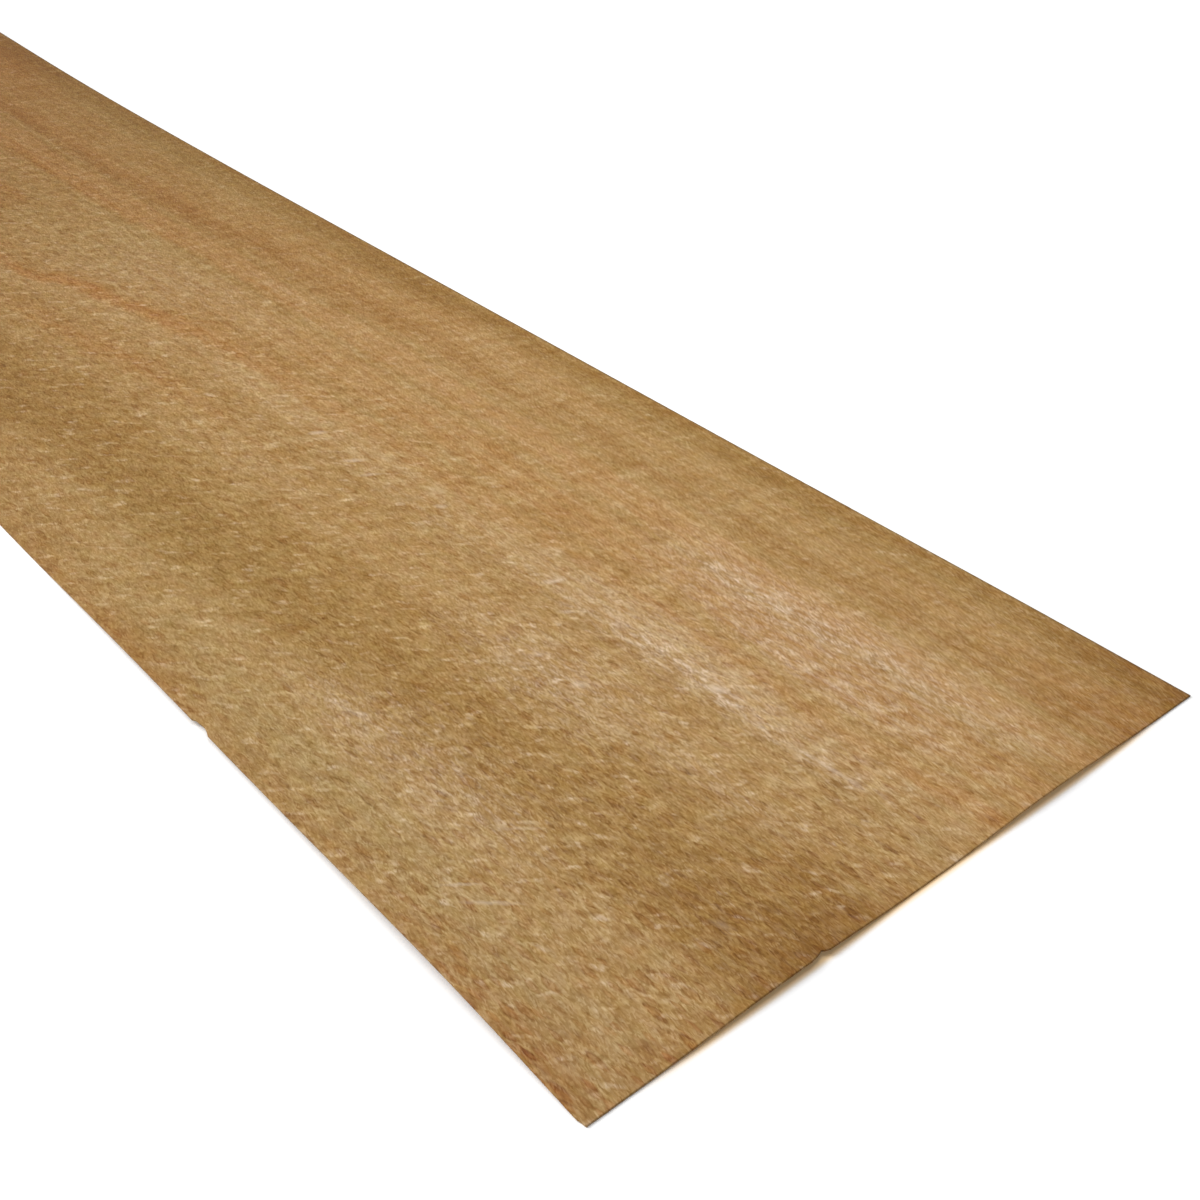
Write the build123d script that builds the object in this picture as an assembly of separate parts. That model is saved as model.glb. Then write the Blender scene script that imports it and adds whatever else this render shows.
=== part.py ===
from build123d import *

import os
from math import comb

# A sheet of sliced wood veneer that lies loose on a level floor.
# It is one piece: a leaf of wood, knife-sliced to one thickness and trimmed square.
# Dry veneer doesn't lie quite flat. One end lifts off the floor in shallow curls, a long
# buckle stands further along its right edge, and the rest lies level.
# X runs along the sheet towards the curled end, Y across it from the left edge to the
# right one, and Z up. The origin is on the floor under the middle of the sheet.
# All sizes are in millimetres.

# The leaf
sheet_length = 2500.0
sheet_width = 300.0
sheet_thickness = 0.6

# The stretches along the sheet, counted from the curled end. The rest is level too.
curled_length = 400.0
level_length = 240.0
buckled_length = 900.0

# The curled end is shaped in two halves that meet on the floor, this far from the left edge
left_half_width = 150.0

# The left edge's lifts off the floor, and where they peak, counted from the curled end:
# by the corner, at the curl, and along the curl's tail
corner_lift = 0.7
corner_lift_distance = 45.0
left_curl_lift = 2.7
left_curl_distance = 90.0
left_tail_lift = 1.8
left_tail_distance = 265.0

# The right edge's faint curl near the curled end
right_curl_lift = 0.35
right_curl_distance = 90.0

# The two arches in the curled end, and where they peak, counted from the left edge
left_arch_lift = 1.9
left_arch_distance = 85.0
right_arch_lift = 2.0
right_arch_distance = 215.0

# The right edge's lifts along the buckled stretch, counted from the curled end: a low
# swell, then the crest. They fade towards the left edge from the middle of the sheet.
swell_lift = 0.8
swell_distance = 940.0
buckle_lift = 10.0
buckle_distance = 1240.0

# A chip torn out of the left edge: its deepest point from the curled end, the torn
# lengths to each side of that point, and how far it reaches into the sheet
chip_distance = 223.0
chip_short_side = 5.0
chip_long_side = 7.0
chip_depth = 1.5

# A nick in the curled end: its deepest point from the left edge, its lengths to each
# side of that point, and its depth
nick_distance = 97.5
nick_left_side = 5.5
nick_right_side = 3.0
nick_depth = 1.4

# The worn corner between the left edge and the curled end
corner_wear_along = 3.5
corner_wear_across = 0.7

# The lifted stretches are Bezier surfaces. Their control nets have this many steps, so
# that a single raised row or column gives a lift as long and as wide as it is on the leaf.
steps_along = 9
steps_across = 7

# A lift at an edge or at the end raises this many rows or columns of the net there
edge_depth = 2

# Where things are
end_x = sheet_length / 2
left_y = -sheet_width / 2
right_y = sheet_width / 2
half_seam_y = left_y + left_half_width
curl_root_x = end_x - curled_length
buckle_near_x = curl_root_x - level_length
buckle_far_x = buckle_near_x - buckled_length
plain_end_x = -end_x
cut_height = buckle_lift + 2 * sheet_thickness


def height_for(lift, steps, step):
    """The height of one raised control point that lifts a Bezier curve to lift at its peak."""
    share = step / steps
    return lift / (comb(steps, step) * share**step * (1 - share) ** (steps - step))


def raise_along_edge(raised, columns, lift, distance, stretch_length):
    """Raise the row of the net nearest to a distance along a stretch, by an edge."""
    row = round(steps_along * distance / stretch_length)
    for column in columns:
        raised[row, column] = height_for(lift, steps_along, row)


def raise_along_end(raised, lift, distance, stretch_width):
    """Raise the column of the net nearest to a distance across a stretch, by the end."""
    column = round(steps_across * distance / stretch_width)
    for row in range(edge_depth):
        raised[row, column] = height_for(lift, steps_across, column)


def level_stretch(near_x, far_x):
    """A stretch of the leaf that lies flat on the floor, over its whole width."""
    size = (near_x - far_x, sheet_width, sheet_thickness)
    slab = Box(*size, align=(Align.MAX, Align.CENTER, Align.MIN))
    return Pos(near_x, 0, 0) * slab


def lifted_stretch(near_x, far_x, low_y, high_y, raised):
    """A stretch of the leaf over a rectangle of floor, lifted by the raised control points.

    raised holds the heights of those points, by row and column. All the others stay on
    the floor, so the leaf leaves the floor and meets it again without a crease.
    """
    net = []
    for row in range(steps_along + 1):
        x = near_x + (far_x - near_x) * row / steps_along
        points = []
        for column in range(steps_across + 1):
            y = low_y + (high_y - low_y) * column / steps_across
            points.append(Vector(x, y, raised.get((row, column), 0)))
        net.append(points)
    underside = Face.make_bezier_surface(net)
    return Part() + Solid.extrude(underside, Vector(0, 0, sheet_thickness))


def left_half_of_curled_end():
    """The half with the curled left edge, and the arch in the end beside it."""
    raised = {}
    left_columns = range(edge_depth)
    raise_along_edge(raised, left_columns, corner_lift, corner_lift_distance, curled_length)
    raise_along_edge(raised, left_columns, left_curl_lift, left_curl_distance, curled_length)
    raise_along_edge(raised, left_columns, left_tail_lift, left_tail_distance, curled_length)
    raise_along_end(raised, left_arch_lift, left_arch_distance, left_half_width)
    return lifted_stretch(end_x, curl_root_x, left_y, half_seam_y, raised)


def right_half_of_curled_end():
    """The half with the second arch, and a faint curl along the right edge."""
    raised = {}
    right_columns = range(steps_across + 1 - edge_depth, steps_across + 1)
    raise_along_edge(raised, right_columns, right_curl_lift, right_curl_distance, curled_length)
    arch_distance = right_arch_distance - left_half_width
    raise_along_end(raised, right_arch_lift, arch_distance, sheet_width - left_half_width)
    return lifted_stretch(end_x, curl_root_x, half_seam_y, right_y, raised)


def buckled_stretch():
    """The long buckle, highest at the right edge and back on the floor at the left one."""
    raised = {}
    middle_and_right = range(steps_across // 2, steps_across + 1)
    start = curled_length + level_length
    raise_along_edge(raised, middle_and_right, swell_lift, swell_distance - start, buckled_length)
    raise_along_edge(raised, middle_and_right, buckle_lift, buckle_distance - start, buckled_length)
    return lifted_stretch(buckle_near_x, buckle_far_x, left_y, right_y, raised)


def cutter(*outline):
    """An upright prism through the whole leaf, on an outline drawn on the floor."""
    face = make_face(Polyline(*outline, close=True))
    return Pos(0, 0, -sheet_thickness) * extrude(face, cut_height)


def edge_chip():
    """The chip in the left edge: torn back in steps on one side, broken short on the other."""
    x = end_x - chip_distance
    outside_y = left_y - chip_depth
    return cutter(
        (x - chip_long_side, outside_y),
        (x - chip_long_side, left_y),
        (x - 0.8 * chip_long_side, left_y + 0.6 * chip_depth),
        (x - 0.3 * chip_long_side, left_y + 0.8 * chip_depth),
        (x, left_y + chip_depth),
        (x + 0.3 * chip_short_side, left_y + 0.8 * chip_depth),
        (x + 0.7 * chip_short_side, left_y + 0.4 * chip_depth),
        (x + chip_short_side, left_y),
        (x + chip_short_side, outside_y),
    )


def end_nick():
    """The nick in the curled end, steeper on its right side."""
    y = left_y + nick_distance
    outside_x = end_x + nick_depth
    return cutter(
        (outside_x, y - nick_left_side),
        (end_x, y - nick_left_side),
        (end_x - 0.4 * nick_depth, y - 0.4 * nick_left_side),
        (end_x - nick_depth, y),
        (end_x - 0.5 * nick_depth, y + 0.3 * nick_right_side),
        (end_x, y + nick_right_side),
        (outside_x, y + nick_right_side),
    )


def worn_corner():
    """The sliver that is worn off the corner."""
    return cutter(
        (end_x - corner_wear_along, left_y),
        (end_x, left_y + corner_wear_across),
        (end_x + corner_wear_across, left_y - corner_wear_across),
    )


def veneer_sheet():
    """The whole leaf, as one solid."""
    sheet = left_half_of_curled_end()
    sheet += right_half_of_curled_end()
    sheet += level_stretch(curl_root_x, buckle_near_x)
    sheet += buckled_stretch()
    sheet += level_stretch(buckle_far_x, plain_end_x)
    for cut in (edge_chip(), end_nick(), worn_corner()):
        sheet -= cut
    return sheet


os.makedirs("parts", exist_ok=True)
export_step(veneer_sheet(), "parts/veneer_sheet.step")
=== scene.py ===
from math import comb, radians

import bpy
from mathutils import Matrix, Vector, noise


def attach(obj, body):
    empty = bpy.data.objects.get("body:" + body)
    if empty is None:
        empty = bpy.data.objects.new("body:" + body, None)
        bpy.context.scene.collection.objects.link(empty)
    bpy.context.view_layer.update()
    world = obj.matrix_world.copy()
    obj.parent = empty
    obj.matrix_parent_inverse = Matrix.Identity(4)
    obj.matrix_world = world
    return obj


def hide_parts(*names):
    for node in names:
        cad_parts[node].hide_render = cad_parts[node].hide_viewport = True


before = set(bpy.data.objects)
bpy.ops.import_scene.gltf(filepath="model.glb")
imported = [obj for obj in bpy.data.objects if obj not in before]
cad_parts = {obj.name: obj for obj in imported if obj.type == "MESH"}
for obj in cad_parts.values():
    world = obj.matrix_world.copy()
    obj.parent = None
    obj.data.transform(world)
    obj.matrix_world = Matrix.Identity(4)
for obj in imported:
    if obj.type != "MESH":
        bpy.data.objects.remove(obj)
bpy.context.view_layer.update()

# A leaf of figured hardwood veneer, sliced with a knife and left bare.
# The leaf is measured in millimetres from its curled end (along) and from its left edge
# (across), as a veneer cutter would. The scene is in metres, with X towards the curled
# end, Y across the leaf and Z up from the floor.
MM = 0.001

LEAF_LENGTH = 2500.0
LEAF_WIDTH = 300.0
LEAF_THICKNESS = 0.6

# The stretches of the leaf from the curled end, and the seam between its two halves
CURLED_LENGTH = 400.0
BUCKLE_START = 640.0
BUCKLE_LENGTH = 900.0
HALF_WIDTH = 150.0

# The lifts off the floor follow curves with this many steps along and across a stretch.
# Each lift is given with the step where it peaks, counted from the curled end along an
# edge, and from the left across an arch in the end. The crest of the buckle is a hair
# lower than the solid's, so that the leaf stays inside its box.
STEPS_ALONG = 9
STEPS_ACROSS = 7
LEFT_EDGE_LIFTS = [(0.7, 1), (2.7, 2), (1.8, 6)]
RIGHT_EDGE_LIFTS = [(0.35, 2)]
LEFT_ARCH = [(1.9, 4)]
RIGHT_ARCH = [(2.0, 3)]
BUCKLE_LIFTS = [(0.8, 3), (9.98, 6)]

# Inwards from an edge or from the end, a lift holds for this many steps and then fades
END_HOLD = 2
BUCKLE_HOLD = 5

# Where the outline steps in from the straight: (place along the edge, depth)
LEFT_CHIP = [
    (218.0, 0.0), (219.5, 0.6), (221.5, 1.2), (223.0, 1.5), (225.1, 1.2),
    (228.6, 0.9), (230.0, 0.0),
]
LEFT_CORNER = [(0.0, 0.7), (3.5, 0.0)]
END_NICK = [(92.0, 0.0), (95.3, 0.56), (97.5, 1.4), (98.4, 0.7), (100.5, 0.0)]

# How deep the knife's trim leaves the cut edges ragged, how long its tufts of fibres and
# the single fibre ends in them are, and how far the tears reach into the leaf
RAGGED = 0.12
TUFT_LENGTH = 5.0
FIBRE_END_LENGTH = 1.3
TEAR_REACH = 9.0
# The edges are cut one by one, so each is ragged in its own way
LEFT_EDGE, RIGHT_EDGE, CURLED_END = 1.0, 2.0, 3.0
TUFTS, FIBRE_ENDS = 0.0, 7.0

# How far apart the points of the leaf are, as (from, to, step): closest at the cut edges,
# the chip and the nick, and close where the leaf curls
POINTS_ALONG = [
    (0, 4, 0.5), (4, 20, 1.6), (20, 216, 2.5), (216, 232, 0.5), (232, 400, 3),
    (400, 640, 12), (640, 1540, 9), (1540, 2500, 60),
]
POINTS_ACROSS = [
    (0, 1, 0.5), (1, 10, 1.5), (10, 90, 3.2), (90, 102, 0.5), (102, 290, 3.6),
    (290, 300, 1.6),
]


# The shape of the leaf


def hump(steps, step, share):
    """A hump from 0 to 1, on the floor at both ends, that peaks at step out of steps."""
    peak = step / steps
    return (share / peak) ** step * ((1 - share) / (1 - peak)) ** (steps - step)


def humps(lifts, steps, share):
    """The humps of several lifts together, at a share of the way along their stretch."""
    return sum(height * hump(steps, step, share) for height, step in lifts)


def fade(steps, hold, share):
    """1 at a share of 0, and smoothly down to 0 at 1. A larger hold lasts for longer."""
    return sum(
        comb(steps, n) * share**n * (1 - share) ** (steps - n) for n in range(hold)
    )


def curled_end_lift(along, across):
    """The curled left edge with its long tail, the two arches in the end, the right curl."""
    if across <= HALF_WIDTH:
        edge_lifts, arch = LEFT_EDGE_LIFTS, LEFT_ARCH
        side = across / HALF_WIDTH
        from_edge = side
    else:
        edge_lifts, arch = RIGHT_EDGE_LIFTS, RIGHT_ARCH
        side = (across - HALF_WIDTH) / (LEAF_WIDTH - HALF_WIDTH)
        from_edge = 1 - side
    share = along / CURLED_LENGTH
    by_edge = humps(edge_lifts, STEPS_ALONG, share) * fade(STEPS_ACROSS, END_HOLD, from_edge)
    by_end = humps(arch, STEPS_ACROSS, side) * fade(STEPS_ALONG, END_HOLD, share)
    return by_edge + by_end


def buckle_lift(along, across):
    """The long buckle on the right edge: a low swell and then the crest."""
    share = (along - BUCKLE_START) / BUCKLE_LENGTH
    from_edge = 1 - across / LEAF_WIDTH
    return humps(BUCKLE_LIFTS, STEPS_ALONG, share) * fade(STEPS_ACROSS, BUCKLE_HOLD, from_edge)


def lift(along, across):
    """How far the underside is off the floor."""
    if along < CURLED_LENGTH:
        return curled_end_lift(along, across)
    if BUCKLE_START < along < BUCKLE_START + BUCKLE_LENGTH:
        return buckle_lift(along, across)
    return 0.0


def step_in(outline, place):
    """The depth of an outline at a place along its edge, and none outside it."""
    for (a, depth_a), (b, depth_b) in zip(outline, outline[1:]):
        if a <= place <= b:
            return depth_a + (depth_b - depth_a) * (place - a) / (b - a)
    return 0.0


def ragged(place, edge):
    """Loose fibre ends along a trimmed edge, from 0 to RAGGED."""
    tufts = noise.noise(Vector((place / TUFT_LENGTH, edge, TUFTS)))
    ends = noise.noise(Vector((place / FIBRE_END_LENGTH, edge, FIBRE_ENDS)))
    return RAGGED * min(1.0, max(0.0, 0.5 + 0.5 * tufts + 0.5 * ends))


def outline_point(along, across):
    """Pull a point of the plain leaf in where the outline is chipped, nicked or worn."""
    left = step_in(LEFT_CHIP, along) + step_in(LEFT_CORNER, along)
    left += ragged(along, LEFT_EDGE)
    right = ragged(along, RIGHT_EDGE)
    end = step_in(END_NICK, across) + ragged(across, CURLED_END)
    pull_left = max(0.0, 1 - across / TEAR_REACH)
    pull_right = max(0.0, 1 - (LEAF_WIDTH - across) / TEAR_REACH)
    pull_end = max(0.0, 1 - along / TEAR_REACH)
    return (
        along + end * pull_end,
        across + left * pull_left - right * pull_right,
    )


def stations(stretches):
    """Places along a line: (start, end, step) for each stretch, each place once."""
    places = []
    for start, end, step in stretches:
        count = max(1, round((end - start) / step))
        places += [start + (end - start) * n / count for n in range(count)]
    return places + [stretches[-1][1]]


def leaf_mesh():
    """The leaf as a closed sheet of quads: the face, the back and the cut edges."""
    alongs = stations(POINTS_ALONG)
    acrosses = stations(POINTS_ACROSS)
    rows = len(alongs)
    columns = len(acrosses)
    verts = []
    for height in (LEAF_THICKNESS, 0.0):
        for a in alongs:
            for c in acrosses:
                along, across = outline_point(a, c)
                x = LEAF_LENGTH / 2 - along
                y = across - LEAF_WIDTH / 2
                verts.append((x * MM, y * MM, (lift(a, c) + height) * MM))

    def vert(side, row, column):
        return (side * rows + row) * columns + column

    faces = []
    for row in range(rows - 1):
        for column in range(columns - 1):
            top = [
                vert(0, row, column), vert(0, row, column + 1),
                vert(0, row + 1, column + 1), vert(0, row + 1, column),
            ]
            faces.append(top)
            faces.append([v + rows * columns for v in reversed(top)])
    border = [(row, 0) for row in range(rows)]
    border += [(rows - 1, column) for column in range(1, columns)]
    border += [(row, columns - 1) for row in range(rows - 2, -1, -1)]
    border += [(0, column) for column in range(columns - 2, 0, -1)]
    for here, there in zip(border, border[1:] + border[:1]):
        faces.append([vert(0, *here), vert(0, *there), vert(1, *there), vert(1, *here)])
    mesh = bpy.data.meshes.new("veneer_leaf")
    mesh.from_pydata(verts, [], faces)
    mesh.validate()
    flat_faces = 2 * (rows - 1) * (columns - 1)
    mesh.polygons.foreach_set("use_smooth", [n < flat_faces for n in range(len(faces))])
    return mesh


# Making materials


def linear(hex_colour):
    """An sRGB hex colour as linear red, green, blue and alpha."""
    channels = [int(hex_colour[n : n + 2], 16) / 255 for n in (1, 3, 5)]
    return [c / 12.92 if c <= 0.04045 else ((c + 0.055) / 1.055) ** 2.4 for c in channels] + [1.0]


def add(tree, kind, label, settings=None, inputs=None):
    """Add a labelled node, set its settings, and give its inputs values or other outputs."""
    node = tree.nodes.new(kind)
    node.label = label
    for name, value in (settings or {}).items():
        setattr(node, name, value)
    for socket, value in (inputs or {}).items():
        if isinstance(value, bpy.types.NodeSocket):
            tree.links.new(value, node.inputs[socket])
        else:
            node.inputs[socket].default_value = value
    return node


def greys(levels):
    """Stops for a colour ramp that stands for plain levels, from (place, level)."""
    return [(place, [level] * 3 + [1.0]) for place, level in levels]


def set_stops(ramp_node, stops):
    """Give a colour ramp its stops, as (place from 0 to 1, colour), with eased steps."""
    ramp = ramp_node.color_ramp
    ramp.interpolation = "EASE"
    while len(ramp.elements) > 1:
        ramp.elements.remove(ramp.elements[-1])
    ramp.elements[0].position, ramp.elements[0].color = stops[0]
    for position, colour in stops[1:]:
        ramp.elements.new(position).color = colour


def new_material(name):
    """An empty node material with its output, as (material, tree, output)."""
    material = bpy.data.materials.new(name)
    material.use_nodes = True
    material.node_tree.nodes.clear()
    output = add(material.node_tree, "ShaderNodeOutputMaterial", "surface")
    return material, material.node_tree, output


def white_where_seen(tree):
    """1 where the camera sees a thing, straight, in gloss or through glass, else 0."""
    seen = add(tree, "ShaderNodeLightPath", "how it is seen")
    either = add(tree, "ShaderNodeMath", "camera or gloss", {"operation": "MAXIMUM"}, {
        0: seen.outputs["Is Camera Ray"], 1: seen.outputs["Is Glossy Ray"],
    })
    return add(tree, "ShaderNodeMath", "or through glass", {"operation": "MAXIMUM"}, {
        0: either.outputs["Value"], 1: seen.outputs["Is Transmission Ray"],
    }).outputs["Value"]


# The wood


# Its tones, and the colour of the painted sheen on its smooth fibres
TONES = {
    "dark edge": "#A57E46",
    "deep": "#A37E47",
    "brown": "#A8834C",
    "russet": "#AD844F",
    "olive": "#AF8B57",
    "tan": "#B18C57",
    "gold": "#B58C57",
    "rosy": "#B88F5B",
    "pale": "#B99563",
}
PAINTED_SHEEN_COLOUR = "#FFEBD6"
# The bands that run along the leaf: millimetres from its left edge at the end, and tone
BANDS = [
    (0, "olive"), (18, "olive"), (42, "tan"), (57, "olive"), (68, "brown"), (78, "deep"),
    (98, "deep"), (110, "brown"), (120, "brown"), (128, "olive"), (136, "tan"),
    (150, "tan"), (163, "olive"), (169, "tan"), (175, "pale"), (181, "pale"),
    (187, "gold"), (193, "tan"), (200, "gold"), (212, "gold"), (222, "tan"),
    (231, "rosy"), (240, "rosy"), (247, "tan"), (255, "russet"), (260, "russet"),
    (267, "gold"), (276, "gold"), (284, "tan"), (291, "brown"), (297, "dark edge"),
]
# How far the bands bow towards the left edge: millimetres from the end, and the bow. The
# last row is also how far the bow reaches, and the most that it is.
BOW = [
    (0, 0), (100, 10), (200, 15), (300, 22), (400, 28), (500, 36), (550, 43), (600, 53),
    (680, 72), (800, 90), (1100, 110),
]
BOW_REACH, BOW_MOST = BOW[-1]
# The share of the bow that a place across the leaf takes
BOW_SHARES = [
    (0, 0.0), (60, 0.85), (80, 0.93), (130, 0.93), (150, 0.8), (165, 0.66), (178, 0.45),
    (190, 0.27), (222, 0.24), (238, 0.26), (250, 0.24), (262, 0.13), (275, 0.05), (300, 0.0),
]

# Growth is never straight: the bands wander slowly, and the fibres flow in small waves.
# Name, millimetres long and wide, detail, and how far it moves things along and across
DRIFTS = [
    ("wander", (90.0, 25.0), 3.0, (40.0, 14.0, 0.0)),
    ("flow", (16.0, 7.0), 1.0, (2.4, 1.1, 0.0)),
    ("ripple", (5.0, 2.4), 1.0, (1.6, 0.8, 0.0)),
]

# Places where the wood is deeper than its band: name, millimetres along and across as the
# bands are measured, half lengths along and across, lean in degrees, strength
DEEP_PLACES = [
    ("end of the dark band", -5, 100, 80, 50, 0, -2.6),
    ("right corner", -5, 294, 80, 24, 0, -2.8),
    ("right part at the end", -5, 266, 75, 34, 0, -1.6),
    ("right border by the end", 130, 280, 230, 34, 0, -1.3),
    ("dark right border", 480, 288, 260, 16, 0, -1.6),
    ("border by the buckle", 1080, 287, 120, 14, 0, -1.6),
    ("dark knot", 320, 90, 130, 18, 0, -0.5),
    ("left part further along", 540, 60, 260, 70, 0, -0.9),
    ("left border", 260, 0, 300, 34, 0, -1.1),
    ("right part further along", 640, 264, 320, 40, 0, -0.6),
]
# Places where it is redder, in the same terms
RED_PLACES = [
    ("russet line at the end", -5, 264, 80, 10, 0, 0.4),
    ("wave's border at the end", -5, 188, 70, 8, 0, 0.6),
    ("russet line further along", 850, 262, 400, 9, 0, 1.0),
    ("thin red line", 760, 226, 330, 7, 0, 1.5),
    ("red line above the wave", 610, 190, 210, 8, 0, 1.8),
    ("red line below the wave", 540, 155, 170, 14, 0, 1.4),
    ("border by the buckle", 1080, 284, 160, 20, 0, 1.2),
    ("left corner", -5, -5, 160, 60, 0, 0.7),
    ("left border", 260, -2, 300, 22, 0, 0.7),
    ("rosy patch by the end", 130, 222, 95, 26, 0, 0.5),
    ("yellower between the red lines", 670, 211, 220, 24, 0, -1.3),
    ("yellower right part", 740, 276, 320, 24, 0, -0.8),
    ("yellower right border", 190, 270, 270, 28, 0, -1.1),
    ("yellower left border", 170, 24, 220, 32, 0, -1.2),
    ("yellower left part", 330, 70, 150, 60, 0, -0.7),
]
# Places where the fibres lie smooth and shine, with a painted sheen, in the same terms
PAINTED_SHEEN_PLACES = [
    ("patch by the end", 95, 225, 90, 23, 0, 0.13),
    ("the same patch further on", 165, 223, 65, 21, 0, 0.12),
    ("streak beside that patch", 110, 202, 110, 9, 0, 0.13),
    ("by the wave", 145, 174, 115, 17, 0, 0.10),
    ("in the middle", 170, 133, 80, 27, 0, 0.08),
    ("in the middle by the end", 75, 134, 45, 11, 0, 0.06),
    ("by the chip", 200, 61, 32, 13, 0, 0.06),
    ("around the chip", 165, 58, 95, 36, 0, 0.05),
    ("streak by the chip", 130, 66, 60, 10, 0, 0.04),
    ("further along the wave", 380, 141, 70, 8, 0, 0.03),
    ("pale rosy streak", 550, 237, 60, 8, 0, 0.03),
    ("pale between the red lines", 590, 205, 130, 13, 0, 0.04),
    ("crest of the wave", 110, 170, 90, 5, 0, 0.10),
    ("crest of the wave further on", 300, 168, 110, 4, 0, 0.05),
]
# Bright nicks of curl by the pale wave and the left edge, painted highlights where the
# curl catches the light: millimetres along and across the leaf itself, and the rest in
# the same terms
PAINTED_NICK_HIGHLIGHTS = [
    ("nick 1", 389, 152, 6, 2.5, 60, 0.34), ("nick 2", 355, 151, 7.5, 2.2, 55, 0.34),
    ("nick 3", 339, 150, 7.5, 1.8, 62, 0.24), ("nick 4", 295, 159, 4, 2.5, 40, 0.26),
    ("nick 5", 216, 161, 6, 2.2, 62, 0.34), ("nick 6", 195, 152, 6, 2, 50, 0.24),
    ("nick 7", 119, 164, 6, 3.2, 30, 0.45), ("nick 8", 57, 164, 17.5, 1.5, 4, 0.24),
    ("nick 9", 180, 125, 5, 2, 55, 0.24), ("nick 10", 155, 125, 5, 2.8, 60, 0.34),
    ("nick 11", 195, 50, 9, 2.4, 30, 0.12), ("nick 12", 29, 81, 6, 2, 20, 0.12),
    ("nick 13", 84, 30, 12.5, 1.4, 50, 0.28), ("nick 14", 97, 27, 9, 1.2, 55, 0.28),
    ("nick 15", 106, 59, 9, 1.1, 50, 0.18), ("nick 16", 136, 45, 5, 1.1, 50, 0.16),
]
# Dark specks, in the same terms
SPECKS = [("dark speck", 255, 72.5, 1.2, 0.9, 0, -9.0)]

# How the wood changes along the leaf: it deepens further on, partly in its own tone and
# partly as painted shade where the light falls off away from the curled end, and it
# deepens in the last millimetres before the end. Towards the end a little painted sheen
# brightens it. Name, the sum that it adds to, the millimetres from the end between which
# it changes, and its strength at each
CHANGES_ALONG = [
    ("deeper further along", "slow", 350.0, 1050.0, 0.0, -1.8),
    ("deeper at the end", "slow", 0.0, 12.0, -1.0, 0.0),
    ("shine towards the end", "painted_sheen", 60.0, 330.0, 0.02, 0.004),
]

# Across the leaf, the left side's figure gives way to the right side's between these
CROSSING_START = 130.0
CROSSING_END = 240.0

# The layers of the figure: name, millimetres long and wide, lean from the grain in
# degrees, detail, and strength towards the left edge and towards the right one
SLOW_FIGURE = [
    ("growth lines", (90.0, 4.0), 0, 2.0, (1.6, 3.9)),
    ("fine growth lines", (50.0, 1.3), -3, 1.0, (0.6, 2.4)),
    ("curl", (26.0, 8.0), 58, 1.0, (3.2, 0.0)),
    ("curl on the right", (34.0, 8.0), 74, 1.0, (0.8, 3.4)),
]
FINE_FIGURE = [
    ("wisps", (6.4, 2.4), 11, 1.0, (3.2, 0.0)),
    ("wisps on the right", (8.0, 2.6), 10, 1.0, (0.0, 3.5)),
    ("fine wisps", (2.2, 0.9), -2, 1.5, (3.8, 0.0)),
    ("fine wisps on the right", (2.7, 0.9), -12, 1.5, (0.0, 4.8)),
    ("curl on the slant", (12.0, 4.4), 32, 1.0, (3.0, 1.3)),
]
FIGURE_ROUGHNESS = 0.65
# Fibres lie side by side, each of its own tone. They are 0.1 mm thick and are drawn five
# times as thick, to show. Name, millimetres long and wide, lean, strengths.
FIBRES = [
    ("fibres", (1.5, 0.5), -8, (3.2, 0.0)),
    ("fibres on the right", (1.9, 0.5), -18, (0.0, 3.0)),
]

# Cut rays are lens shapes up to 10 mm long, each in a space of its own: name, millimetres
# long and wide of that space, lean, strength. The exponent draws the ends to points.
RAYS = [("rays", (15.0, 4.2), 3, 7.8), ("small rays", (9.5, 2.7), 7, 6.6)]
RAY_POINTEDNESS = 1.35
# From a ray's middle out: reddish brown, a dark outline at a third, and a pale rim
RAY_PROFILE = [(0.0, 0.32), (0.22, 0.3), (0.32, 0.06), (0.42, 0.5), (0.52, 0.76), (0.66, 0.5)]
RAY_REDNESS = 1.7

# Vessels are cut as short dark strokes, about 4 mm long and half a millimetre wide. They
# are the low parts of a pattern of this size and lean.
STROKES_SIZE, STROKES_LEAN = (5.5, 1.0), 3

# Crests of curl are pale strokes about 4 mm long and 1.5 mm wide that lean across the
# grain, each with a thin dark border: painted highlights where the curl catches the light,
# and painted shade along their borders. They are the high parts of this pattern.
CRESTS_SIZE, CRESTS_LEAN = (10.0, 4.0), 50
CREST_GROUND = 0.4
PAINTED_CREST_PROFILE = [(0.5, CREST_GROUND), (0.57, 0.0), (0.62, CREST_GROUND), (0.75, 1.0)]
PAINTED_CREST_STRENGTH = 2.0

# The painted sheen shines in clumps a few millimetres long
CLUMPS_SIZE, CLUMPS_LEAN = (8.0, 2.4), 4

# Small drifts of hue, a few millimetres long, between rosy and olive: how far red, green
# and blue swing, and from what share of the band's
HUES_SIZE = (9.0, 5.0)
HUE_SWING = (0.10, 0.0, 0.32)
HUE_START = (0.95, 1.0, 0.84)

# What the wood's red, green and blue change by far along the leaf, and by a unit of red
FAR_HUE = (-0.01, -0.032, -0.14)
RED_HUE = (0.0, -0.08, -0.14)

# How much plainer a unit of the slow figure or of the fine figure makes the wood, how
# much brighter a unit of the fine figure makes it, and how many times stronger the fine
# figure is far along the leaf
SLOW_RICHNESS = 0.1
FINE_RICHNESS = 0.06
FINE_BRIGHTNESS = 0.05
FAR_FIGURE = 1.35

# Knife marks and curl leave a relief of a few hundredths of a millimetre
RELIEF_DEPTH = 0.02


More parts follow.
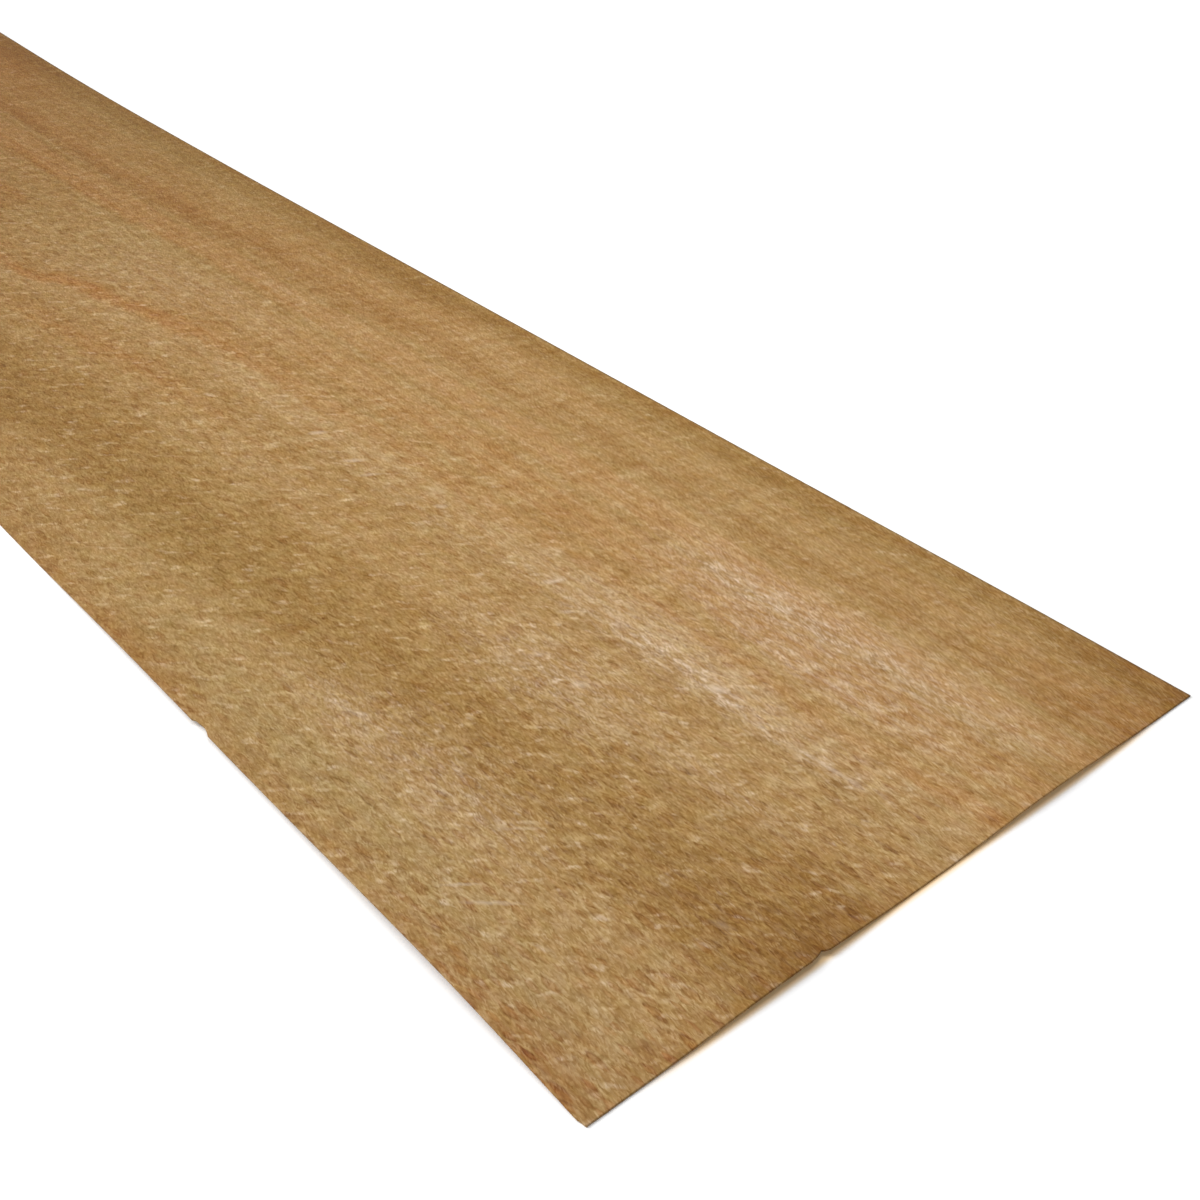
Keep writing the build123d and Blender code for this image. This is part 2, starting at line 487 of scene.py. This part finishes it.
def pattern(tree, name, vector, size, lean, detail, roughness=0.5):
    """The outputs of a noise with swells of a size in millimetres and a lean in degrees."""
    stretched = add(tree, "ShaderNodeMapping", name + " size", {"vector_type": "TEXTURE"}, {
        "Vector": vector, "Rotation": (0, 0, radians(-lean)), "Scale": (*size, 1),
    })
    return add(tree, "ShaderNodeTexNoise", name, {"noise_dimensions": "2D"}, {
        "Vector": stretched.outputs["Vector"], "Scale": 1.0, "Detail": detail,
        "Roughness": roughness,
    }).outputs


def spot(tree, name, vector, middle, half_lengths, lean):
    """A soft oval spot: 1 in its middle, and 0 from its rim outwards."""
    placed = add(tree, "ShaderNodeMapping", name + " size", {"vector_type": "TEXTURE"}, {
        "Vector": vector, "Location": (*middle, 0), "Rotation": (0, 0, radians(-lean)),
        "Scale": (*half_lengths, 1),
    })
    return add(tree, "ShaderNodeTexGradient", name, {"gradient_type": "SPHERICAL"}, {
        "Vector": placed.outputs["Vector"],
    }).outputs["Fac"]


def add_to(tree, sums, target, name, level, strength):
    """Add a level times its strength to one of the sums."""
    sums[target] = add(tree, "ShaderNodeMath", name + " added", {"operation": "MULTIPLY_ADD"}, {
        0: level, 1: strength, 2: sums[target],
    }).outputs["Value"]


def places_on_leaf(tree):
    """Places on the leaf in millimetres along and across: flat, and moved by each drift."""
    place = add(tree, "ShaderNodeTexCoord", "place on the leaf")
    leaf = add(tree, "ShaderNodeMapping", "mm from the curled end and the left edge", inputs={
        "Vector": place.outputs["Object"],
        "Location": (LEAF_LENGTH / 2, LEAF_WIDTH / 2, 0),
        "Scale": (-1 / MM, 1 / MM, 1 / MM),
    })
    flat = add(tree, "ShaderNodeVectorMath", "the same through the thickness", {
        "operation": "MULTIPLY",
    }, {0: leaf.outputs["Vector"], 1: (1, 1, 0)}).outputs["Vector"]
    places = {"flat": flat}
    for name, size, detail, reach in DRIFTS:
        drift = pattern(tree, name, flat, size, 0, detail)
        about_0 = add(tree, "ShaderNodeVectorMath", name + " about 0", {
            "operation": "SUBTRACT",
        }, {0: drift["Color"], 1: (0.5, 0.5, 0.5)})
        places[name] = add(tree, "ShaderNodeVectorMath", name + " added", {
            "operation": "MULTIPLY_ADD",
        }, {0: about_0.outputs["Vector"], 1: reach, 2: flat}).outputs["Vector"]
    return places


def bowed_bands(tree, along, across):
    """The colour of the bands, and places in millimetres as the bands are measured.

    Further from the end the bands bow towards the left edge, most in the middle."""
    shares = {}
    for name, part, length in (("bow along", along, BOW_REACH), ("across", across, LEAF_WIDTH)):
        shares[name] = add(tree, "ShaderNodeMath", name, {"operation": "DIVIDE"}, {
            0: part, 1: length,
        }).outputs["Value"]
    bow = add(tree, "ShaderNodeValToRGB", "bow", inputs={"Fac": shares["bow along"]})
    set_stops(bow, greys((mm / BOW_REACH, far / BOW_MOST) for mm, far in BOW))
    share = add(tree, "ShaderNodeValToRGB", "share of the bow", inputs={"Fac": shares["across"]})
    set_stops(share, greys((mm / LEAF_WIDTH, part) for mm, part in BOW_SHARES))
    bow_here = add(tree, "ShaderNodeMath", "bow here", {"operation": "MULTIPLY"}, {
        0: bow.outputs["Color"], 1: share.outputs["Color"],
    })
    bowed = add(tree, "ShaderNodeMath", "across, bowed", {"operation": "MULTIPLY_ADD"}, {
        0: bow_here.outputs["Value"], 1: BOW_MOST / LEAF_WIDTH, 2: shares["across"],
    })
    band = add(tree, "ShaderNodeValToRGB", "bands", inputs={"Fac": bowed.outputs["Value"]})
    set_stops(band, [(mm / LEAF_WIDTH, linear(TONES[tone])) for mm, tone in BANDS])
    bowed_mm = add(tree, "ShaderNodeMath", "mm across, bowed", {"operation": "MULTIPLY"}, {
        0: bowed.outputs["Value"], 1: LEAF_WIDTH,
    })
    on_bands = add(tree, "ShaderNodeCombineXYZ", "place on the bands", inputs={
        "X": along, "Y": bowed_mm.outputs["Value"],
    })
    return band.outputs["Color"], on_bands.outputs["Vector"]


def two_sides(tree, across):
    """How far over to the right a place is, and the share of each side's figure there.

    They cross over in the middle at an even strength: the squares add up to 1."""
    to_right = add(tree, "ShaderNodeMapRange", "towards the right edge", {
        "interpolation_type": "SMOOTHSTEP",
    }, {
        "Value": across, "From Min": CROSSING_START, "From Max": CROSSING_END,
    }).outputs["Result"]
    to_left = add(tree, "ShaderNodeMath", "towards the left edge", {"operation": "SUBTRACT"}, {
        0: 1.0, 1: to_right,
    }).outputs["Value"]
    shares = [
        add(tree, "ShaderNodeMath", side + " share", {"operation": "SQRT"}, {
            0: part,
        }).outputs["Value"]
        for side, part in (("left", to_left), ("right", to_right))
    ]
    return to_right, shares


def add_layer(tree, sums, target, name, level, sides, strengths):
    """Add a level about 0.5 to one of the sums, at its strengths on the left and right."""
    about_0 = add(tree, "ShaderNodeMath", name + " about 0", {"operation": "SUBTRACT"}, {
        0: level, 1: 0.5,
    })
    on_right = add(tree, "ShaderNodeMath", name + " on the right", {"operation": "MULTIPLY"}, {
        0: sides[1], 1: strengths[1],
    })
    strength = add(tree, "ShaderNodeMath", name + " strength", {"operation": "MULTIPLY_ADD"}, {
        0: sides[0], 1: strengths[0], 2: on_right.outputs["Value"],
    })
    add_to(tree, sums, target, name, about_0.outputs["Value"], strength.outputs["Value"])


def add_figure(tree, sums, flow, sides):
    """The layers of the figure. Gives the wisps, and the height of the figure's relief."""
    levels = {}
    for target, layers in (("slow", SLOW_FIGURE), ("fine", FINE_FIGURE)):
        for name, size, lean, detail, strengths in layers:
            levels[name] = pattern(tree, name, flow, size, lean, detail, FIGURE_ROUGHNESS)["Fac"]
            add_layer(tree, sums, target, name, levels[name], sides, strengths)
    return levels["wisps"], sums["fine"]


def add_fibres(tree, sums, flow, sides):
    """Fibres side by side. Gives their tones from 0 to 1, on the left and on the right."""
    tones = []
    for name, size, lean, strengths in FIBRES:
        strands = add(tree, "ShaderNodeMapping", name + " size", {"vector_type": "TEXTURE"}, {
            "Vector": flow, "Rotation": (0, 0, radians(-lean)), "Scale": (*size, 1),
        })
        bundle = add(tree, "ShaderNodeTexVoronoi", name, {"voronoi_dimensions": "2D"}, {
            "Vector": strands.outputs["Vector"], "Scale": 1.0,
        })
        own_tone = add(tree, "ShaderNodeSeparateColor", name + " tone", inputs={
            "Color": bundle.outputs["Color"],
        }).outputs["Red"]
        add_layer(tree, sums, "fine", name, own_tone, sides, strengths)
        tones.append(own_tone)
    return tones


def add_rays(tree, sums, places, along, wisps, left):
    """Cut rays with a dark outline and a pale rim, on the left. Some show and others hardly
    do. Their insides are reddish brown, most of all by the corner."""
    corner = spot(tree, "by the corner", places["flat"], (0, 5), (150, 85), 0)
    redness = add(tree, "ShaderNodeMapRange", "how red the rays are", inputs={
        "Value": corner, "To Min": 0.35, "To Max": 1.0,
    })
    breaks = add(tree, "ShaderNodeMapRange", "breaks in the outlines", inputs={
        "Value": wisps, "From Min": 0.62, "From Max": 0.42, "To Min": 0.35,
    })
    near_end = add(tree, "ShaderNodeMapRange", "clearer by the end", inputs={
        "Value": along, "From Min": 120.0, "From Max": 330.0, "To Min": 1.0, "To Max": 0.6,
    })
    breaks_here = add(tree, "ShaderNodeMath", "breaks here", {"operation": "MULTIPLY"}, {
        0: breaks.outputs["Result"], 1: near_end.outputs["Result"],
    })
    for name, size, lean, strength in RAYS:
        spaces = add(tree, "ShaderNodeMapping", name + " size", {"vector_type": "TEXTURE"}, {
            "Vector": places["ripple"], "Rotation": (0, 0, radians(-lean)), "Scale": (*size, 1),
        })
        rays = add(tree, "ShaderNodeTexVoronoi", name, {
            "voronoi_dimensions": "2D", "distance": "MINKOWSKI",
        }, {
            "Vector": spaces.outputs["Vector"], "Scale": 1.0, "Exponent": RAY_POINTEDNESS,
        })
        chance = add(tree, "ShaderNodeSeparateColor", name + " at random", inputs={
            "Color": rays.outputs["Color"],
        })
        shows = add(tree, "ShaderNodeMapRange", name + " that show", inputs={
            "Value": chance.outputs["Red"], "From Min": 0.2, "From Max": 1.0,
        })
        shows_here = add(tree, "ShaderNodeMath", name + " on the left", {
            "operation": "MULTIPLY",
        }, {0: shows.outputs["Result"], 1: left})
        broken = add(tree, "ShaderNodeMath", name + " broken up", {"operation": "MULTIPLY"}, {
            0: shows_here.outputs["Value"], 1: breaks_here.outputs["Value"],
        })
        profile = add(tree, "ShaderNodeValToRGB", name + " from middle to rim", inputs={
            "Fac": rays.outputs["Distance"],
        })
        set_stops(profile, greys(RAY_PROFILE))
        about_0 = add(tree, "ShaderNodeMath", name + " about 0", {"operation": "SUBTRACT"}, {
            0: profile.outputs["Color"], 1: 0.5,
        })
        drawn = add(tree, "ShaderNodeMath", name + " drawn", {"operation": "MULTIPLY"}, {
            0: about_0.outputs["Value"], 1: broken.outputs["Value"],
        })
        add_to(tree, sums, "fine", name, drawn.outputs["Value"], strength)
        inside = add(tree, "ShaderNodeMapRange", name + " inside", {
            "interpolation_type": "SMOOTHSTEP",
        }, {"Value": rays.outputs["Distance"], "From Min": 0.44, "From Max": 0.26})
        red_inside = add(tree, "ShaderNodeMath", name + " by the corner", {
            "operation": "MULTIPLY",
        }, {0: inside.outputs["Result"], 1: redness.outputs["Result"]})
        reddened = add(tree, "ShaderNodeMath", name + " reddened", {"operation": "MULTIPLY"}, {
            0: red_inside.outputs["Value"], 1: shows_here.outputs["Value"],
        })
        add_to(tree, sums, "red", name + " red", reddened.outputs["Value"], RAY_REDNESS)


def add_strokes_and_crests(tree, sums, ripple, to_right):
    """Cut vessels and crests of curl. Less of them is drawn towards the right edge, where
    the fibres lie smoother. The crests are painted highlights with painted shade at their
    borders, and a painted sheen on top."""
    less_on_right = add(tree, "ShaderNodeMapRange", "less on the right", inputs={
        "Value": to_right, "To Min": 1.0, "To Max": 0.5,
    }).outputs["Result"]
    stroke_levels = pattern(tree, "strokes", ripple, STROKES_SIZE, STROKES_LEAN, 0.0)["Fac"]
    strokes = add(tree, "ShaderNodeMapRange", "strokes drawn", inputs={
        "Value": stroke_levels, "From Min": 0.24, "From Max": 0.4, "To Min": -0.8,
        "To Max": 0.1,
    })
    add_to(tree, sums, "fine", "strokes", strokes.outputs["Result"], less_on_right)

    # Crests: painted highlights of curl, painted shade along their borders, painted sheen on top
    crest_levels = pattern(tree, "crests", ripple, CRESTS_SIZE, CRESTS_LEAN, 1.0)["Fac"]
    shine = add(tree, "ShaderNodeMapRange", "crests shine", {
        "interpolation_type": "SMOOTHSTEP",
    }, {"Value": crest_levels, "From Min": 0.58, "From Max": 0.85, "To Max": 0.09})
    profile = add(tree, "ShaderNodeValToRGB", "crests and their borders", inputs={
        "Fac": crest_levels,
    })
    set_stops(profile, greys(PAINTED_CREST_PROFILE))
    about_0 = add(tree, "ShaderNodeMath", "crests about 0", {"operation": "SUBTRACT"}, {
        0: profile.outputs["Color"], 1: CREST_GROUND,
    })
    drawn = add(tree, "ShaderNodeMath", "crests drawn", {"operation": "MULTIPLY"}, {
        0: about_0.outputs["Value"], 1: less_on_right,
    })
    add_to(tree, sums, "fine", "crest borders", drawn.outputs["Value"], PAINTED_CREST_STRENGTH)
    add_to(tree, sums, "painted_sheen", "crests", shine.outputs["Result"], less_on_right)


def add_changes_along(tree, sums, along):
    """How the wood changes along the leaf."""
    for name, target, near, far, near_strength, far_strength in CHANGES_ALONG:
        change = add(tree, "ShaderNodeMapRange", name, {"interpolation_type": "SMOOTHSTEP"}, {
            "Value": along, "From Min": near, "From Max": far, "To Min": near_strength,
            "To Max": far_strength,
        })
        add_to(tree, sums, target, name, change.outputs["Result"], 1.0)


def spread_painted_sheen(tree, sums, ripple, to_right, fibre_tones):
    """Painted sheen in clumps, on some fibres more than on others as painted glints, and
    the nicks' painted highlights evenly.
    """
    clump_levels = pattern(tree, "clumps", ripple, CLUMPS_SIZE, CLUMPS_LEAN, 2.0)["Fac"]
    clumps = add(tree, "ShaderNodeMapRange", "shine in clumps", {
        "interpolation_type": "SMOOTHSTEP",
    }, {
        "Value": clump_levels, "From Min": 0.33, "From Max": 0.75, "To Min": 0.4,
        "To Max": 2.2,
    })
    in_clumps = add(tree, "ShaderNodeMath", "satin in clumps", {"operation": "MULTIPLY"}, {
        0: sums["painted_sheen"], 1: clumps.outputs["Result"],
    })
    tone_here = add(tree, "ShaderNodeMix", "fibre tone", {"data_type": "FLOAT"}, {
        0: to_right, 2: fibre_tones[0], 3: fibre_tones[1],
    })
    # Painted glints: the painted sheen is stronger on the paler fibres
    painted_glints = add(tree, "ShaderNodeMapRange", "painted_glints", inputs={
        "Value": tone_here.outputs[0], "From Min": 0.2, "From Max": 1.0, "To Min": 0.5,
        "To Max": 1.7,
    })
    return add(tree, "ShaderNodeMath", "satin in glints", {"operation": "MULTIPLY_ADD"}, {
        0: in_clumps.outputs["Value"], 1: painted_glints.outputs["Result"], 2: sums["painted_nick_highlights"],
    }).outputs["Value"]


def tinted_bands(tree, sums, flat, along, band_colour):
    """The bands with their small drifts of hue, warmer along the leaf and redder in places."""
    hue = pattern(tree, "hue", flat, HUES_SIZE, 0, 2.0)["Color"]
    tint = add(tree, "ShaderNodeVectorMath", "tint about 1", {"operation": "MULTIPLY_ADD"}, {
        0: hue, 1: HUE_SWING, 2: HUE_START,
    })
    far = add(tree, "ShaderNodeMapRange", "how far along", inputs={
        "Value": along, "From Min": 400.0, "From Max": 1000.0,
    })
    warmer = add(tree, "ShaderNodeVectorMath", "warmer along the leaf", {
        "operation": "MULTIPLY_ADD",
    }, {0: far.outputs["Result"], 1: FAR_HUE, 2: tint.outputs["Vector"]})
    redder = add(tree, "ShaderNodeVectorMath", "redder", {"operation": "MULTIPLY_ADD"}, {
        0: sums["red"], 1: RED_HUE, 2: warmer.outputs["Vector"],
    })
    return add(tree, "ShaderNodeVectorMath", "tinted bands", {"operation": "MULTIPLY"}, {
        0: band_colour, 1: redder.outputs["Vector"],
    }).outputs["Vector"]


def grained_wood(tree, sums, along, tinted):
    """The tinted bands, made richer or plainer and brighter or darker by the figure."""
    far_gain = add(tree, "ShaderNodeMapRange", "stronger further along", inputs={
        "Value": along, "From Min": 250.0, "From Max": 800.0, "To Min": 1.0,
        "To Max": FAR_FIGURE,
    })
    fine = add(tree, "ShaderNodeMath", "fine figure", {"operation": "MULTIPLY"}, {
        0: sums["fine"], 1: far_gain.outputs["Result"],
    })
    slow_depth = add(tree, "ShaderNodeMath", "slow figure enriches", {
        "operation": "MULTIPLY_ADD",
    }, {0: sums["slow"], 1: -SLOW_RICHNESS, 2: 1.0})
    depth = add(tree, "ShaderNodeMath", "fine figure enriches less", {
        "operation": "MULTIPLY_ADD",
    }, {0: fine.outputs["Value"], 1: -FINE_RICHNESS, 2: slow_depth.outputs["Value"]})
    rich = add(tree, "ShaderNodeGamma", "richness", inputs={
        "Color": tinted, "Gamma": depth.outputs["Value"],
    })
    brightness = add(tree, "ShaderNodeMath", "fine figure brightens", {
        "operation": "MULTIPLY_ADD",
    }, {0: fine.outputs["Value"], 1: FINE_BRIGHTNESS, 2: 1.0})
    return add(tree, "ShaderNodeVectorMath", "grained wood", {"operation": "SCALE"}, {
        0: rich.outputs["Color"], "Scale": brightness.outputs["Value"],
    }).outputs["Vector"]


def sliced_veneer():
    """Figured hardwood, knife-sliced across its rays and left bare: soft bands along the
    leaf, wisps of curl that catch the light, small ray flecks, and a dry surface with a
    soft shine that is partly painted in as a pale sheen."""
    material, tree, output = new_material("sliced_figured_hardwood")
    places = places_on_leaf(tree)
    parts = add(tree, "ShaderNodeSeparateXYZ", "along and across", inputs={
        "Vector": places["wander"],
    })
    along, across = parts.outputs["X"], parts.outputs["Y"]
    band_colour, on_bands = bowed_bands(tree, along, across)
    to_right, sides = two_sides(tree, across)

    # Five sums from 0. Slow figure changes how deep and rich the wood is, fine figure
    # mostly how bright, painted sheen adds a pale painted shine in glints, the nicks' painted
    # highlights add it evenly, and red takes green and blue away.
    sums = {"slow": 0.0, "fine": 0.0, "painted_sheen": 0.0, "painted_nick_highlights": 0.0, "red": 0.0}
    for target, spots, vector in (
        ("slow", DEEP_PLACES, on_bands), ("red", RED_PLACES, on_bands),
        ("painted_sheen", PAINTED_SHEEN_PLACES, on_bands), ("painted_nick_highlights", PAINTED_NICK_HIGHLIGHTS, places["ripple"]),
        ("slow", SPECKS, places["flow"]),
    ):
        for name, *middle, half_long, half_wide, lean, strength in spots:
            soft = spot(tree, name, vector, middle, (half_long, half_wide), lean)
            add_to(tree, sums, target, name, soft, strength)
    wisps, figure_height = add_figure(tree, sums, places["flow"], sides)
    fibre_tones = add_fibres(tree, sums, places["flow"], sides)
    add_rays(tree, sums, places, along, wisps, sides[0])
    add_strokes_and_crests(tree, sums, places["ripple"], to_right)
    add_changes_along(tree, sums, along)

    painted_sheen = spread_painted_sheen(tree, sums, places["ripple"], to_right, fibre_tones)
    tinted = tinted_bands(tree, sums, places["flat"], along, band_colour)
    grained = grained_wood(tree, sums, along, tinted)
    # The painted sheen mixes the wood's colour towards a pale shine colour
    colour = add(tree, "ShaderNodeMix", "wood colour", {"data_type": "RGBA"}, {
        "Factor": painted_sheen, 6: grained, 7: linear(PAINTED_SHEEN_COLOUR),
    })
    relief = add(tree, "ShaderNodeBump", "relief of the figure", inputs={
        "Height": figure_height, "Distance": RELIEF_DEPTH * MM, "Strength": 1.0,
    })
    shader = add(tree, "ShaderNodeBsdfPrincipled", "bare wood", inputs={
        "Base Color": colour.outputs[2], "Roughness": 0.6, "IOR": 1.45,
        "Specular IOR Level": 0.12, "Normal": relief.outputs["Normal"],
    })
    tree.links.new(shader.outputs["BSDF"], output.inputs["Surface"])
    return material


# The floor


def white_floor():
    """White paper. Away from the leaf the camera sees it as plain white, and beside the
    leaf it keeps the leaf's soft shadow, with painted warm light tinting that shadow by
    the curled end."""
    material, tree, output = new_material("white_paper_floor")
    place = add(tree, "ShaderNodeTexCoord", "place on the floor")
    mirrored = add(tree, "ShaderNodeVectorMath", "distance from the middle", {
        "operation": "ABSOLUTE",
    }, {0: place.outputs["Object"]})
    beyond = add(tree, "ShaderNodeVectorMath", "beyond the leaf", {"operation": "SUBTRACT"}, {
        0: mirrored.outputs["Vector"], 1: (LEAF_LENGTH / 2 * MM, LEAF_WIDTH / 2 * MM, 0),
    })
    sides = add(tree, "ShaderNodeSeparateXYZ", "along and across", inputs={
        "Vector": beyond.outputs["Vector"],
    })
    away = add(tree, "ShaderNodeMath", "the greater", {"operation": "MAXIMUM"}, {
        0: sides.outputs["X"], 1: sides.outputs["Y"],
    })
    plain = add(tree, "ShaderNodeMapRange", "plain white away from the leaf", {
        "interpolation_type": "SMOOTHSTEP",
    }, {"Value": away.outputs["Value"], "From Min": 12 * MM, "From Max": 70 * MM})
    floor_place = add(tree, "ShaderNodeSeparateXYZ", "floor along", inputs={
        "Vector": place.outputs["Object"],
    })
    lift_along = add(tree, "ShaderNodeMapRange", "lift beside the leaf", inputs={
        "Value": floor_place.outputs["X"],
        "From Min": (LEAF_LENGTH / 2 - 100) * MM,
        "From Max": (LEAF_LENGTH / 2 - 1050) * MM,
        "To Min": 0.15, "To Max": 0.42,
    })
    lift_here = add(tree, "ShaderNodeMath", "lift to white here", {"operation": "MAXIMUM"}, {
        0: plain.outputs["Result"], 1: lift_along.outputs["Result"],
    })
    glow_strength = add(tree, "ShaderNodeMath", "paper white", {"operation": "MULTIPLY"}, {
        0: white_where_seen(tree), 1: lift_here.outputs["Value"],
    })
    # Painted warm light: beside and under the lifted end the paper's colour is tinted warm,
    # standing in for light passed through the thin wood into the shade there
    beside_end = add(tree, "ShaderNodeMapRange", "beside the end", {
        "interpolation_type": "SMOOTHSTEP",
    }, {"Value": sides.outputs["X"], "From Min": 3.0 * MM, "From Max": 0.0})
    off_corners = add(tree, "ShaderNodeMapRange", "off the corners", {
        "interpolation_type": "SMOOTHSTEP",
    }, {"Value": sides.outputs["Y"], "From Min": -14 * MM, "From Max": -50 * MM})
    painted_warmth = add(tree, "ShaderNodeMath", "painted_warmth", {"operation": "MULTIPLY"}, {
        0: beside_end.outputs["Result"], 1: off_corners.outputs["Result"],
    })
    warm = add(tree, "ShaderNodeMix", "warm shade", {"data_type": "RGBA"}, {
        "Factor": painted_warmth.outputs["Value"], 6: linear("#FFFFFF"), 7: linear("#FFDDAB"),
    })
    paper = add(tree, "ShaderNodeBsdfDiffuse", "paper", inputs={"Color": warm.outputs[2]})
    glow = add(tree, "ShaderNodeEmission", "lift to white", inputs={
        "Color": warm.outputs[2], "Strength": glow_strength.outputs["Value"],
    })
    both = add(tree, "ShaderNodeAddShader", "both", inputs={
        0: paper.outputs["BSDF"], 1: glow.outputs["Emission"],
    })
    tree.links.new(both.outputs["Shader"], output.inputs["Surface"])
    return material


def new_object(name, data, location=(0, 0, 0), rotation=(0, 0, 0)):
    """An object in the scene. The rotation is in degrees."""
    thing = bpy.data.objects.new(name, data)
    bpy.context.scene.collection.objects.link(thing)
    thing.location = location
    thing.rotation_euler = [radians(angle) for angle in rotation]
    return thing


# The leaf
leaf = new_object("veneer_leaf", leaf_mesh())
leaf.data.materials.append(sliced_veneer())
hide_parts("veneer_sheet")
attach(leaf, "root")

# The floor, a hair under the leaf
floor_mesh = bpy.data.meshes.new("floor")
floor_mesh.from_pydata([(-8, -8, 0), (8, -8, 0), (8, 8, 0), (-8, 8, 0)], [], [(0, 1, 2, 3)])
floor_mesh.materials.append(white_floor())
floor = new_object("floor", floor_mesh, (0, 0, -0.05 * MM))

# A wide soft key light from beyond the left edge, a softbox over the curled end, and an
# even fill. Together they light a level leaf there at 1, so that colours show as written.
key = bpy.data.lights.new("key", "SUN")
key.energy = 2.25
key.angle = radians(32)
new_object("key", key, (0, 0, 2), (0, -51, 30))

softbox = bpy.data.lights.new("softbox", "AREA")
softbox.shape = "SQUARE"
softbox.size = 0.5
softbox.energy = 2.2
new_object("softbox", softbox, (1.0, -0.02, 0.72))

# The fill lights at 0.14, and the camera sees it as plain white
world = bpy.data.worlds.new("studio")
bpy.context.scene.world = world
world.use_nodes = True
sky = world.node_tree
sky.nodes.clear()
level = add(sky, "ShaderNodeMapRange", "fill level, or white where seen", inputs={
    "Value": white_where_seen(sky), "To Min": 0.14, "To Max": 1.0,
})
backdrop = add(sky, "ShaderNodeBackground", "studio", inputs={
    "Color": (1, 1, 1, 1), "Strength": level.outputs["Result"],
})
sky_output = add(sky, "ShaderNodeOutputWorld", "world")
sky.links.new(backdrop.outputs["Background"], sky_output.inputs["Surface"])

# The camera, as the photo was taken
camera = bpy.data.cameras.new("camera")
camera.sensor_fit = "HORIZONTAL"
camera.sensor_width = 36.0
camera.lens = 46.70
bpy.context.scene.camera = new_object(
    "camera", camera, (1.45959, -0.32000, 0.37550), (54.4775, 0, 50.029)
)
bpy.context.scene.view_settings.view_transform = "Standard"
